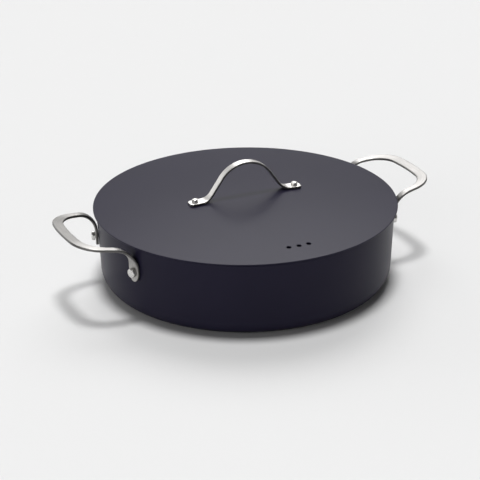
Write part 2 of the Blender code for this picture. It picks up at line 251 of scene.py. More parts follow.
# A bevel's offset runs along the faces. This share of a corner's radius gives it.
corner_share = 1 / tan((pi / 2 + WALL_LEAN) / 2)
for z, radius, corner in ((0, wall_radius(0), CORNER_RADIUS),
                          (BASE_THICKNESS, inner_foot, CORNER_RADIUS - WALL_THICKNESS)):
    round_ring(shell, z, radius, corner * corner_share, CORNER_STEPS)
for radius in (RIM_RADIUS, RIM_RADIUS - wall_across):
    round_ring(shell, PAN_HEIGHT, radius, RIM_ROUND, RIM_STEPS)
for z in (PAN_HEIGHT - RIM_ROUND - HOLD, CORNER_RADIUS + HOLD, CORNER_RADIUS + 2 * HOLD):
    bpy.ops.mesh.select_all(action="SELECT")
    bpy.ops.mesh.bisect(plane_co=(0, 0, z), plane_no=(0, 0, 1))
print("share of a corner's radius", round(corner_share, 4))

# %% Finish the flats and drill the wall
PAD_ANGLE = radians(19)
SIDE_RIVET_HEIGHT = 0.0523
SIDE_SHANK_RADIUS = 0.0026
side_rivet_angles = {"right_rear": PAD_ANGLE, "right_front": -PAD_ANGLE,
                     "left_front": pi + PAD_ANGLE, "left_rear": pi - PAD_ANGLE}

for level in (0, BASE_THICKNESS):
    pick(shell, "faces", lambda face: len(face.verts) == TURN_STEPS
         and abs(face.calc_center_median().z - level) < ON_LEVEL)
    bpy.ops.mesh.inset(thickness=HOLD)
    bpy.ops.mesh.inset(thickness=wall_radius(0) / 2)
    bpy.ops.mesh.poke()
finish(shell)
side_frames = {name: wall_frame(angle, SIDE_RIVET_HEIGHT)
               for name, angle in side_rivet_angles.items()}
bore(shell, side_frames.values(), SIDE_SHANK_RADIUS + SHANK_GAP, 2 * WALL_THICKNESS)
finish(shell)

# %% [markdown]
# ## The lid
#
# The lid is a shallow dome with a thin edge that overhangs the rim, and a lip below that
# keeps it in place. The overhang is thinned from below, which leaves a dark line between the
# edge and the wall, and that line is how one sees that the lid is loose. Such a shape is all
# outline, so half of it is drawn with one extruded point and spun round the axis. The steam
# vents and the rivets' holes are drilled after. The vents' drill widens at the surface, which
# takes away the burr on the real one. A second cut for that would leave the mesh open, since
# its edges would lie almost on those of the first.

# %% Sizes of the lid and places on it
LID_OVERHANG = 0.0032
LID_THICKNESS = 0.0023
LID_DOME_RISE = 0.0071
LID_RADIUS = RIM_RADIUS + LID_OVERHANG
LID_EDGE_Z = PAN_HEIGHT + SEAT_GAP + LID_THICKNESS


def dome_z(r):
    """Height of the lid's top face."""
    return LID_EDGE_Z + LID_DOME_RISE * (1 - (r / LID_RADIUS) ** 2)


def dome_fall(r):
    """Angle by which the lid's top face falls away at a radius."""
    return atan(2 * LID_DOME_RISE * r / LID_RADIUS ** 2)


def dome_frame(angle, r):
    """A frame on the lid's top face, before the lid is turned."""
    outward = Vector((cos(angle), sin(angle), 0))
    normal = outward * sin(dome_fall(r)) + Z * cos(dome_fall(r))
    return frame_at(outward * r + Z * dome_z(r), normal, Y)


print("lid radius", round(LID_RADIUS, 4), "top of the dome", round(dome_z(0), 4))

# %% Helpers for a spun shape
POINT_SIZE = 0.001


def arc(r, z, radius, first, last, steps):
    """Points (r, z) of an arc, both ends included, with angles in degrees."""
    turns = [radians(first + (last - first) * i / steps) for i in range(steps + 1)]
    return [(r + radius * cos(turn), z + radius * sin(turn)) for turn in turns]


def spin_outline(name, outline, steps):
    """Merge a small plane into a point, extrude it along an outline, and spin that round Z."""
    bpy.ops.object.select_all(action="DESELECT")
    bpy.ops.mesh.primitive_plane_add(size=POINT_SIZE)
    piece = start(name)
    bpy.ops.mesh.select_mode(type="VERT")
    bpy.ops.mesh.select_all(action="SELECT")
    bpy.ops.mesh.merge(type="CENTER")
    bpy.ops.transform.translate(value=(outline[0][0], 0, outline[0][1]))
    for (r, z), (next_r, next_z) in zip(outline, outline[1:]):
        bpy.ops.mesh.extrude_vertices_move(
            TRANSFORM_OT_translate={"value": (next_r - r, 0, next_z - z)})
    bpy.ops.mesh.select_all(action="SELECT")
    bpy.ops.mesh.spin(steps=steps, angle=2 * pi, center=(0, 0, 0), axis=(0, 0, 1))
    return finish(piece)


# %% Outline of half the lid
LID_EDGE_ROUND = 0.0006
LID_EDGE_DEPTH = 0.0013
LID_EDGE_STEPS = 6
LOW_EDGE_TURN = -70
LIP_CLEARANCE = 0.001
LIP_THICKNESS = 0.0022
LIP_DEPTH = 0.005
LIP_ROUND = 0.0006
SMALL_ROUND_STEPS = 4
DOME_RINGS = 16

edge_r = LID_RADIUS - LID_EDGE_ROUND
fall = dome_fall(LID_RADIUS)
edge_z = dome_z(edge_r + LID_EDGE_ROUND * sin(fall)) - LID_EDGE_ROUND * cos(fall)
low_edge_z = LID_EDGE_Z - LID_EDGE_DEPTH + LID_EDGE_ROUND
last_dome_r = edge_r - HOLD
dome = [(last_dome_r * i / DOME_RINGS, dome_z(last_dome_r * i / DOME_RINGS))
        for i in range(DOME_RINGS + 1)]
edge = (arc(edge_r, edge_z, LID_EDGE_ROUND, 90 - degrees(fall), 0, LID_EDGE_STEPS)
        + arc(edge_r, low_edge_z, LID_EDGE_ROUND, 0, LOW_EDGE_TURN, SMALL_ROUND_STEPS))

lid_seat_z = LID_EDGE_Z - LID_THICKNESS
lip_outer = RIM_RADIUS - wall_across - LIP_CLEARANCE
lip_inner = lip_outer - LIP_THICKNESS
lip_z = lid_seat_z - LIP_DEPTH
seat = [(RIM_RADIUS, lid_seat_z), (lip_outer, lid_seat_z)]
lip = (arc(lip_outer - LIP_ROUND, lip_z + LIP_ROUND, LIP_ROUND, 0, -90, SMALL_ROUND_STEPS)
       + arc(lip_inner + LIP_ROUND, lip_z + LIP_ROUND, LIP_ROUND, -90, -180, SMALL_ROUND_STEPS))
under = [(lip_inner * i / DOME_RINGS, dome_z(lip_inner * i / DOME_RINGS) - LID_THICKNESS)
         for i in range(DOME_RINGS, -1, -1)]
lid_outline = dome + edge + seat + lip + under
print("points on the lid's outline:", len(lid_outline))

# %% Spin the lid
LID_TURN = radians(-2.5)

lid = spin_outline("vented_lid", lid_outline, TURN_STEPS)
lid.rotation_euler.z = LID_TURN
alone(lid)
bpy.ops.object.transform_apply(rotation=True)

# %% Drill the lid
VENT_RADIUS = 0.0025
VENT_CHAMFER = 0.00015
VENT_PITCH = 0.0105
VENT_INSET = 0.0276
LID_RIVET_SPACING = 0.1106
LID_SHANK_RADIUS = 0.0018

lid_turn = Matrix.Rotation(LID_TURN, 4, "Z")
vent_ring = LID_RADIUS - VENT_INSET
vent_frames = [lid_turn @ dome_frame(-pi / 2 + i * VENT_PITCH / vent_ring, vent_ring)
               for i in (-1, 0, 1)]
lid_frames = {name: lid_turn @ dome_frame(angle, LID_RIVET_SPACING / 2)
              for name, angle in (("lid_left", pi), ("lid_right", 0))}
bore(lid, vent_frames, VENT_RADIUS, 2 * LID_THICKNESS, VENT_CHAMFER)
bore(lid, lid_frames.values(), LID_SHANK_RADIUS + SHANK_GAP, 2 * LID_THICKNESS)
finish(lid)

# %% [markdown]
# ## Bars that are cut flat and then bent
#
# A loop handle is one flat bar. The maker cuts a straight blank with a wide pad at each end,
# rounds its edges, drills it, and bends and twists it in a press. The same order works here.
# The blank is a section that is extruded row by row along X, and each row sets its width and
# its thickness. Every point of the section keeps its number in an attribute, which an
# extrusion copies, so the new row knows where its points go. A Curve modifier could bend the
# blank, but a twist is hard to steer with it. So the bend is a path of small steps, each with
# a middle, a side and a normal, and every point of the blank is carried onto it. The blank's
# own lengths stay in a UV map: the brushed lines run along the bar because they read it.

# %% Section of a bar
CORNER_POINTS = 5
FACE_POINTS = 7
SECTION_POINTS = 4 * CORNER_POINTS + 2 * (FACE_POINTS - 1)
MOST_ROUND = 0.45


def bar_section(width, thickness, edge_round):
    """Points (across, up, share of the painted edge shade) round a flat bar with rounded edges."""
    round_off = min(edge_round, MOST_ROUND * width, MOST_ROUND * thickness)
    a, b = width / 2 - round_off, thickness / 2 - round_off
    points = []
    for quarter, (across, up) in enumerate(((a, b), (-a, b), (-a, -b), (a, -b))):
        for i in range(CORNER_POINTS):
            turn = pi / 2 * (quarter + i / (CORNER_POINTS - 1))
            points.append((across + round_off * cos(turn), up + round_off * sin(turn),
                           abs(cos(turn))))
        if quarter % 2 == 0:
            way = 1 - quarter
            for i in range(1, FACE_POINTS):
                points.append((way * (a - 2 * a * i / FACE_POINTS), way * thickness / 2, 0.0))
    return points


print("points round a bar:", SECTION_POINTS)

# %% Extrude a blank
MAP_LENGTH = 0.1


def map_blank(shape, number):
    """Lay the UV map: U runs along the bar, and V runs once round its section."""
    uv = shape.loops.layers.uv.new("along_the_bar")
    for face in shape.faces:
        numbers = [vert[number] for vert in face.verts]
        wraps = max(numbers) - min(numbers) > SECTION_POINTS / 2 and len(numbers) == 4
        for loop in face.loops:
            step = loop.vert[number]
            step = SECTION_POINTS if wraps and step == 0 else step
            loop[uv].uv = (loop.vert.co.x / MAP_LENGTH, step / SECTION_POINTS)


def bar_blank(name, rows, edge_round):
    """Extrude the section along X. A row is (x, width, thickness)."""
    bpy.ops.object.select_all(action="DESELECT")
    bpy.ops.mesh.primitive_circle_add(vertices=SECTION_POINTS, fill_type="NGON")
    piece = start(name)
    shape = bmesh.from_edit_mesh(piece.data)
    number = shape.verts.layers.int.new("section_number")
    # This attribute carries where the rounded edges get a painted shade.
    shape.verts.layers.float.new("painted_edge_shade")
    for i, vert in enumerate(shape.verts):
        vert[number] = i
    bmesh.update_edit_mesh(piece.data)
    for i, (x, width, thickness) in enumerate(rows):
        if i:
            bpy.ops.mesh.extrude_region_move()
        shape = bmesh.from_edit_mesh(piece.data)
        number = shape.verts.layers.int["section_number"]
        edge = shape.verts.layers.float["painted_edge_shade"]
        points = bar_section(width, thickness, edge_round)
        for vert in shape.verts:
            if vert.select:
                across, up, vert[edge] = points[vert[number]]
                vert.co = (x, across, up)
        bmesh.update_edit_mesh(piece.data)
    map_blank(shape, number)
    bmesh.update_edit_mesh(piece.data)
    return finish(piece)


# %% Bend a blank


def bend(piece, path, flip_axis):
    """Carry a blank onto a path. The path covers the half from an end to the middle.

    A path step is (length, middle, side, normal, dish, width). The other half of the bar is
    the mirror of this one.
    """
    count = len(piece.data.vertices)
    flat = np.empty(count * 3, np.float32)
    piece.data.vertices.foreach_get("co", flat)
    flat = flat.reshape(-1, 3).astype(float)
    lengths = np.array([step[0] for step in path])
    along = lengths[-1] - abs(flat[:, 0])

    def read(column):
        """What a column of the path says at each point of the blank."""
        values = np.array([step[column] for step in path], float).reshape(len(path), -1)
        return np.stack([np.interp(along, lengths, value) for value in values.T], 1)

    middle, side, normal, dish = (read(column) for column in (1, 2, 3, 4))
    across, up = flat[:, 1:2], flat[:, 2:3]
    bent = middle + side * across + normal * (up + dish * across ** 2)
    mirror = 1 - 2 * np.array(flip_axis, float)
    bent[flat[:, 0] > 0] *= mirror
    piece.data.vertices.foreach_set("co", bent.astype(np.float32).ravel())
    piece.data.update()
    print(piece.name, "bent from a blank of", round(2 * lengths[-1], 4), "m")


# %% [markdown]
# ## The loop handles
#
# The pad stands on the leaning wall and is dished to its curve, so that it seats all over.
# Above the rivet the bar bends outwards and twists at an even rate. Its inner face becomes
# the top face of the loop, which lies in one plane that rises a little. The arms spread
# towards a wide round corner, and the outer bar bows out slightly. The turn between the pad
# and the arm is one rotation, and a quaternion slerp shares it out evenly over the bend. The
# path is made in that order, from the pad's tip to the middle of the outer bar.

# %% Path up the pad
BAR_THICKNESS = 0.0029
PAD_WIDTH = 0.0134
PAD_TIP = 0.0104
PAD_ABOVE_RIVET = 0.0052
STEP = 0.0006


def add_steps(path, places):
    """Add (middle, side, normal, dish, width) places to a path, with their lengths."""
    for middle, side, normal, dish, width in places:
        gone = (middle - path[-1][1]).length if path else 0.0
        if path and gone < SAME_POINT:
            continue
        length = path[-1][0] + gone if path else 0.0
        path.append((length, middle, side, normal, dish, width))


wall = wall_frame(PAD_ANGLE, SIDE_RIVET_HEIGHT)
pad_out, pad_up = wall.col[2].to_3d(), wall.col[1].to_3d()
pad_side = (-pad_out).cross(pad_up)
pad_rivet = wall.translation + pad_out * (SEAT_GAP + BAR_THICKNESS / 2)
pad_dish = 1 / (2 * wall_radius(SIDE_RIVET_HEIGHT))
pad_length = PAD_TIP + PAD_ABOVE_RIVET
count = round(pad_length / STEP)
loop_path = []
add_steps(loop_path, [(pad_rivet + pad_up * (pad_length * i / count - PAD_TIP), pad_side,
                       -pad_out, pad_dish, PAD_WIDTH) for i in range(count + 1)])
print("path up the pad:", round(loop_path[-1][0], 4), "m")

# %% Path through the bend and the twist
ARM_WIDTH = 0.0080
ARM_SPLAY = radians(10.5)
LOOP_RISE = radians(7.5)
PAD_BEND_RADIUS = 0.0218


def eased(share):
    """Smooth step from 0 to 1."""
    share = min(max(share, 0.0), 1.0)
    return (1 - cos(pi * share)) / 2


plane_out = X * cos(LOOP_RISE) + Z * sin(LOOP_RISE)
plane_up = Z * cos(LOOP_RISE) - X * sin(LOOP_RISE)
arm = plane_out * cos(ARM_SPLAY) - Y * sin(ARM_SPLAY)
arm_side = plane_up.cross(arm)
pad_turn = Matrix((pad_up, pad_side, -pad_out)).transposed().to_quaternion()
arm_turn = Matrix((arm, arm_side, plane_up)).transposed().to_quaternion()
bend_length = PAD_BEND_RADIUS * pad_turn.rotation_difference(arm_turn).angle
count = round(bend_length / STEP)
middle = loop_path[-1][1]
places = []
for i in range(1, count + 1):
    half_way = pad_turn.slerp(arm_turn, (i - 0.5) / count).to_matrix()
    middle = middle + half_way.col[0] * bend_length / count
    turned = pad_turn.slerp(arm_turn, i / count).to_matrix()
    run_out = eased(2 * i / count)
    places.append((middle, turned.col[1], turned.col[2], pad_dish * (1 - run_out),
                   PAD_WIDTH + (ARM_WIDTH - PAD_WIDTH) * run_out))
add_steps(loop_path, places)
print("path to the end of the bend:", round(loop_path[-1][0], 4), "m")

# %% Path along the arm
LOOP_REACH = 0.0431
LOOP_CORNER_RADIUS = 0.028
LOOP_BOW = radians(6.0)

# The arm ends where the corner and the bow bring the outer bar just to the loop's reach.
corner_out = LOOP_CORNER_RADIUS * (cos(LOOP_BOW) - sin(ARM_SPLAY))
corner_in = LOOP_CORNER_RADIUS * (cos(ARM_SPLAY) - sin(LOOP_BOW))
bow_share = tan(LOOP_BOW / 2)
to_go = (RIM_RADIUS + LOOP_REACH - middle.x) / cos(LOOP_RISE)
arm_length = ((to_go - corner_out - (middle.y - corner_in) * bow_share)
              / (cos(ARM_SPLAY) - sin(ARM_SPLAY) * bow_share))
count = round(arm_length / STEP)
add_steps(loop_path, [(middle + arm * arm_length * i / count, arm_side, plane_up, 0.0, ARM_WIDTH)
                      for i in range(1, count + 1)])
print("path to the end of the arm:", round(loop_path[-1][0], 4), "m")

# %% Path round the corner and along the bow
BAR_WIDTH = 0.0110

middle = loop_path[-1][1]
bow_radius = (middle.y - corner_in) / sin(LOOP_BOW)
for radius, start_turn, end_turn in ((LOOP_CORNER_RADIUS, ARM_SPLAY, pi / 2 - LOOP_BOW),
                                     (bow_radius, pi / 2 - LOOP_BOW, pi / 2)):
    pivot = middle - radius * (plane_out * sin(start_turn) + Y * cos(start_turn))
    count = round(radius * (end_turn - start_turn) / STEP)
    places = []
    for i in range(1, count + 1):
        turn = start_turn + (end_turn - start_turn) * i / count
        middle = pivot + radius * (plane_out * sin(turn) + Y * cos(turn))
        heading = plane_out * cos(turn) - Y * sin(turn)
        width = BAR_WIDTH + (ARM_WIDTH - BAR_WIDTH) * eased(1 - sin(turn))
        places.append((middle, plane_up.cross(heading), plane_up, 0.0, width))
    add_steps(loop_path, places)
print("path to the middle of the loop:", round(loop_path[-1][0], 4), "m")

# %% Rows of the loop's blank
BAR_EDGE_ROUND = 0.0011
TIP_START = radians(4)
TIP_STEPS = 24


def rounded_end(distance, thickness, edge_round):
    """Thickness of a bar near its rounded end."""
    inside = min(distance, edge_round)
    return thickness - 2 * edge_round + 2 * sqrt(edge_round ** 2 - (edge_round - inside) ** 2)


def mirrored_rows(half):
    """Rows of the whole blank from those of one half, which end in the middle."""
    return half + [(-x, width, thickness) for x, width, thickness in reversed(half[:-1])]


# The tip is an ellipse, widest at the rivet. It starts a little way in, not at a point.
loop_half = loop_path[-1][0]
half_rows = []
for i in range(TIP_STEPS):
    turn = TIP_START + (pi / 2 - TIP_START) * i / TIP_STEPS
    gone = PAD_TIP * (1 - cos(turn))
    half_rows.append((gone - loop_half, PAD_WIDTH * sin(turn),
                      rounded_end(gone, BAR_THICKNESS, BAR_EDGE_ROUND)))
for length, _, _, _, _, width in loop_path:
    if length > PAD_TIP - SAME_POINT:
        half_rows.append((length - loop_half, width, BAR_THICKNESS))
loop_rows = mirrored_rows(half_rows)
print("rows of the loop's blank:", len(loop_rows))

# %% Make the two loop handles
loops = {}
for name, turn in (("right", 0), ("left", pi)):
    loop = bar_blank(name + "_loop", loop_rows, BAR_EDGE_ROUND)
    holes = [Matrix.Translation((way * (loop_half - PAD_TIP), 0, 0)) for way in (-1, 1)]
    bore(loop, holes, SIDE_SHANK_RADIUS + SHANK_GAP, 2 * BAR_THICKNESS)
    bend(loop, loop_path, (0, 1, 0))
    loop.rotation_euler.z = turn
    loops[name] = finish(loop)

# %% [markdown]
# ## The strap on the lid
#
# The lid's handle is a thin strap with a wide foot at each end. It bends twice, both times in
# one upright plane: up at the foot and over at the top. Its path is worked out from the top
# down, so that the finger room under the arch is what it should be. The two bends are arcs
# of a known size, and the flat run at the foot takes up the length that is left.

# %% Key points of the strap
STRAP_THICKNESS = 0.0022
STRAP_LIMB = radians(55)
STRAP_TOP_RADIUS = 0.0324
STRAP_FOOT_BEND = 0.015
FINGER_ROOM = 0.035
FOOT_TIP = 0.0065

foot = dome_frame(pi, LID_RIVET_SPACING / 2)
foot_fall = dome_fall(LID_RIVET_SPACING / 2)
foot_rivet = foot.translation + foot.col[2].to_3d() * (SEAT_GAP + STRAP_THICKNESS / 2)
top_z = dome_z(0) + FINGER_ROOM + STRAP_THICKNESS / 2
climb = (top_z - STRAP_TOP_RADIUS * (1 - cos(STRAP_LIMB)) - foot_rivet.z
         - STRAP_FOOT_BEND * (cos(foot_fall) - cos(STRAP_LIMB)))
reach = (-STRAP_TOP_RADIUS * sin(STRAP_LIMB) - foot_rivet.x
         - STRAP_FOOT_BEND * (sin(STRAP_LIMB) - sin(foot_fall)))
foot_run = (reach * tan(STRAP_LIMB) - climb) / (tan(STRAP_LIMB) - tan(foot_fall))
ahead = Vector((cos(foot_fall), 0, sin(foot_fall)))
foot_end = foot_rivet - ahead * FOOT_TIP
bend_start = foot_rivet + ahead * foot_run / cos(foot_fall)
print("top of the strap", round(top_z + STRAP_THICKNESS / 2, 4))

# %% Path of the strap
STRAP_WIDTH = 0.0084
FOOT_WIDTH = 0.012


def strap_place(middle, pitch, width):
    """A place on the strap, which climbs at a pitch and never twists."""
    return (middle, Y, Vector((-sin(pitch), 0, cos(pitch))), 0.0, width)


foot_length = (bend_start - foot_end).length
count = round(foot_length / STEP)
places = [strap_place(foot_end + ahead * foot_length * i / count, foot_fall, FOOT_WIDTH)
          for i in range(count + 1)]
count = round(STRAP_FOOT_BEND * (STRAP_LIMB - foot_fall) / STEP)
for i in range(1, count + 1):
    pitch = foot_fall + (STRAP_LIMB - foot_fall) * i / count
    middle = bend_start + STRAP_FOOT_BEND * Vector(
        (sin(pitch) - sin(foot_fall), 0, cos(foot_fall) - cos(pitch)))
    width = FOOT_WIDTH + (STRAP_WIDTH - FOOT_WIDTH) * eased(i / count)
    places.append(strap_place(middle, pitch, width))
count = round(STRAP_TOP_RADIUS * STRAP_LIMB / STEP)
for i in range(count + 1):
    pitch = STRAP_LIMB * (1 - i / count)
    middle = Vector((-STRAP_TOP_RADIUS * sin(pitch), 0,
                     top_z - STRAP_TOP_RADIUS * (1 - cos(pitch))))
    places.append(strap_place(middle, pitch, STRAP_WIDTH))
strap_path = []
add_steps(strap_path, places)
strap_half = strap_path[-1][0]
print("half the strap:", round(strap_half, 4), "m in", len(strap_path), "steps")

# %% Make the strap
STRAP_EDGE_ROUND = 0.0005
FOOT_CLIP = 0.0022
END_ROWS = 9

# The foot's corners are clipped off, and the very end is rounded.
half_rows = []
for i in range(END_ROWS):
    gone = STRAP_EDGE_ROUND * (1 - cos(pi / 2 * (i + 0.5) / (END_ROWS - 0.5)))
    half_rows.append((gone - strap_half, FOOT_WIDTH - 2 * FOOT_CLIP + 2 * gone,
                      rounded_end(gone, STRAP_THICKNESS, STRAP_EDGE_ROUND)))
for length, _, _, _, _, width in strap_path:
    if length > STRAP_EDGE_ROUND + SAME_POINT:
        clipped = FOOT_WIDTH - 2 * max(FOOT_CLIP - length, 0)
        half_rows.append((length - strap_half, min(clipped, width), STRAP_THICKNESS))

strap = bar_blank("lid_strap", mirrored_rows(half_rows), STRAP_EDGE_ROUND)
holes = [Matrix.Translation((way * (strap_half - FOOT_TIP), 0, 0)) for way in (-1, 1)]
bore(strap, holes, LID_SHANK_RADIUS + SHANK_GAP, 2 * STRAP_THICKNESS)
bend(strap, strap_path, (1, 0, 0))
strap.rotation_euler.z = LID_TURN
finish(strap)

# %% [markdown]
# ## The rivets
#
# Each rivet is one piece of steel: a button head outside, a shank through the hole, and a low
# tail that the press closed inside. It starts as a cylinder for the head. The face below is
# inset and pushed down for the shank, widened again for the tail, and then stepped in to a
# dome. The head's top edge is bevelled, and its flat gets a slight crown.

# %% Helpers for the two ends of a rivet
RIVET_STEPS = 64
TAIL_RINGS = 8
CROWN_RINGS = 5
HEAD_CROWN = 0.00025


def press_tail(shank_radius, tail_radius, tail_height):
    """Widen the selected end of the shank, and step it in to a low dome."""
    bpy.ops.mesh.extrude_region_move()
    widen = tail_radius / shank_radius
    bpy.ops.transform.resize(value=(widen, widen, 1), center_override=(0, 0, 0))
    sphere = (tail_radius ** 2 + tail_height ** 2) / (2 * tail_height)
    half_angle = asin(tail_radius / sphere)
    for i in range(1, TAIL_RINGS):
        before, after = (half_angle * (1 - step / TAIL_RINGS) for step in (i - 1, i))
        bpy.ops.mesh.extrude_region_move(TRANSFORM_OT_translate={
            "value": (0, 0, sphere * (cos(before) - cos(after)))})
        narrow = sin(after) / sin(before)
        bpy.ops.transform.resize(value=(narrow, narrow, 1), center_override=(0, 0, 0))
    bpy.ops.mesh.poke()


def crown_head(piece, flat_radius):
    """Raise the flat of the head to a slight crown."""
    pick(piece, "faces", lambda face: looks_up(face) and len(face.verts) == RIVET_STEPS)
    rises = [(i / CROWN_RINGS) * (2 - i / CROWN_RINGS) for i in range(CROWN_RINGS)]
    for low, high in zip(rises, rises[1:]):
        bpy.ops.mesh.inset(thickness=flat_radius / CROWN_RINGS, depth=HEAD_CROWN * (high - low))
    bpy.ops.mesh.poke()


print("rings of a tail:", TAIL_RINGS, "and of a crown:", CROWN_RINGS)

# %% Model and place the rivets
HEAD_STEPS = 8
SIDE_HEAD = (0.0048, 0.0038, 0.0013)
SIDE_TAIL = (0.0056, 0.0018)
LID_HEAD = (0.0034, 0.0034, 0.0014)
LID_TAIL = (0.0046, 0.0014)


def rivet(name, head, tail, shank_radius, handle_thickness, sheet_thickness):
    """A rivet along Z, with the sheet's outer face at height 0.

    A head is (radius, height, rounding), and a tail is (radius, height).
    """
    head_radius, head_height, head_round = head
    head_height -= HEAD_CROWN
    seat = 2 * SEAT_GAP + handle_thickness
    grip = seat + sheet_thickness + SEAT_GAP
    bpy.ops.object.select_all(action="DESELECT")
    bpy.ops.mesh.primitive_cylinder_add(vertices=RIVET_STEPS, radius=head_radius,
                                        depth=head_height, location=(0, 0, seat + head_height / 2))
    bpy.ops.object.transform_apply(location=True)
    piece = start(name)
    pick(piece, "faces", lambda face: face.normal.z < -LEVEL_NORMAL)
    bpy.ops.mesh.inset(thickness=head_radius - shank_radius)
    bpy.ops.mesh.extrude_region_move(TRANSFORM_OT_translate={"value": (0, 0, -grip)})
    press_tail(shank_radius, *tail)
    round_ring(piece, seat + head_height, head_radius, head_round, HEAD_STEPS)
    crown_head(piece, head_radius - head_round)
    return finish(piece)


side_sizes = (SIDE_HEAD, SIDE_TAIL, SIDE_SHANK_RADIUS, BAR_THICKNESS, WALL_THICKNESS)
lid_sizes = (LID_HEAD, LID_TAIL, LID_SHANK_RADIUS, STRAP_THICKNESS, LID_THICKNESS)
rivets = {}
for frames, rivet_sizes in ((side_frames, side_sizes), (lid_frames, lid_sizes)):
    for name, place in frames.items():
        piece = rivet(name + "_button", *rivet_sizes)
        piece.matrix_world = place
        rivets[name] = finish(piece)

# %% [markdown]
# ## Dark anodised aluminium
#
# Hard anodising grows a dark oxide into the metal. It looks matt and slightly blue, and it
# shines softly at a low angle, as any smooth oxide does. The base colour is nearly black. A
# fine speckle in the roughness and a faint grain in the bump are what the bead-blasted metal
# below leaves, and a slow cloud keeps large faces from looking like plastic. The shell looks
# duller than the lid, so it gets the same finish with a lower index of refraction, which
# makes it mirror less. A darker colour would not do that, since the shine comes on top of it.

# %% Helpers for materials
NOISE_LOW = 0.3
NOISE_HIGH = 0.7
BUMP_DISTANCE = 0.0002
MIX_SHARE, MIX_FIRST, MIX_SECOND, MIX_COLOUR = 0, 6, 7, 2


def new_material(name):
    """A new material with its node tree and its Principled shader."""
    material = bpy.data.materials.new(name)
    material.use_nodes = True
    tree = material.node_tree
    return material, tree, tree.nodes["Principled BSDF"]


def fill(tree, socket, value):
    """Link another socket to a socket, or set its value."""
    if isinstance(value, bpy.types.NodeSocket):
        tree.links.new(value, socket)
    else:
        socket.default_value = value


def add_node(tree, kind, settings=None, **inputs):
    """Add a node, set its options, and fill its sockets."""
    node = tree.nodes.new(kind)
    for key, value in (settings or {}).items():
        setattr(node, key, value)
    for key, value in inputs.items():
        fill(tree, node.inputs[key.replace("_", " ")], value)
    return node


def noise(tree, place, scale, detail):
    """A noise pattern on a place, as one number from 0 to 1."""
    return add_node(tree, "ShaderNodeTexNoise", Vector=place, Scale=scale, Detail=detail).outputs["Fac"]


def spread(tree, value, low, high):
    """Stretch the middle of a noise to a range."""
    return add_node(tree, "ShaderNodeMapRange", Value=value, From_Min=NOISE_LOW,
                    From_Max=NOISE_HIGH, To_Min=low, To_Max=high).outputs["Result"]


def mix_colours(tree, share, first, second):
    """A colour between two, by a share."""
    node = add_node(tree, "ShaderNodeMix", {"data_type": "RGBA"})
    fill(tree, node.inputs[MIX_SHARE], share)
    for place, colour in ((MIX_FIRST, first), (MIX_SECOND, second)):
        is_socket = isinstance(colour, bpy.types.NodeSocket)
        fill(tree, node.inputs[place], colour if is_socket else (*colour, 1))
    return node.outputs[MIX_COLOUR]


def relief(tree, shader, height, strength):
    """Give the surface a fine relief from a pattern."""
    bump = add_node(tree, "ShaderNodeBump", Height=height, Strength=strength,
                    Distance=BUMP_DISTANCE)
    tree.links.new(bump.outputs["Normal"], shader.inputs["Normal"])


print("a noise is stretched from", NOISE_LOW, "to", NOISE_HIGH)

# %% Make the anodised finishes
ANODISED_DARK = (0.0124, 0.0107, 0.0256)
ANODISED_PALE = (0.0138, 0.0119, 0.0284)
ANODISED_ROUGHNESS = (0.34, 0.42)
ANODISED_GRAIN = 0.06
SPECKLE_SCALE = 2600
CLOUD_SCALE = 14


def anodised_finish(name, ior):
    """Dark anodised aluminium. A lower IOR makes it duller at a low angle."""
    material, tree, shader = new_material(name)
    place = add_node(tree, "ShaderNodeTexCoord").outputs["Object"]
    speckle = noise(tree, place, SPECKLE_SCALE, 3)
    cloud = spread(tree, noise(tree, place, CLOUD_SCALE, 3), 0, 1)
    colour = mix_colours(tree, cloud, ANODISED_DARK, ANODISED_PALE)
    tree.links.new(colour, shader.inputs["Base Color"])
    tree.links.new(spread(tree, speckle, *ANODISED_ROUGHNESS), shader.inputs["Roughness"])
    relief(tree, shader, speckle, ANODISED_GRAIN)
    shader.inputs["IOR"].default_value = ior
    return material


anodised = anodised_finish("dark_anodised_aluminium", 1.25)
dull = anodised_finish("dull_anodised_aluminium", 1.2)
print("made", anodised.name, "and", dull.name)

# %% [markdown]
# ## Brushed and satin steel
#
# A belt drags fine lines along the bar, so the steel mirrors sharply along the lines and
# blurs across them. Anisotropy does this, with the tangent along the blank's UV map and a
# quarter turn, because a highlight stretches across the lines. The lines themselves are a
# noise that is stretched along the bar. The rounded edges get a painted shade for the dark
# that they mirror at a low angle, and the blank's section keeps their share in an attribute.
# The strap gets the same finish in a brighter shade, which is painted light. The rivets have
# had no belt. They are satin all over, with a fine grain and no lines.

# %% Make the brushed steel
STEEL_TINT = Vector((1, 0.976, 0.948))
# A painted shade on the rounded edges, for the dark that they mirror.
PAINTED_EDGE_SHADE = 0.14
DARK_LINE = 0.82
BRIGHT_LINE = 1.16
LINE_STRETCH = (4, 55, 1)
LINE_DEPTH = 0.25
BRUSHED_ROUGHNESS = (0.38, 0.46)
BRUSHED_CLOUD_SCALE = 60
BRUSHED_ANISOTROPY = 0.6
QUARTER_TURN = 0.25


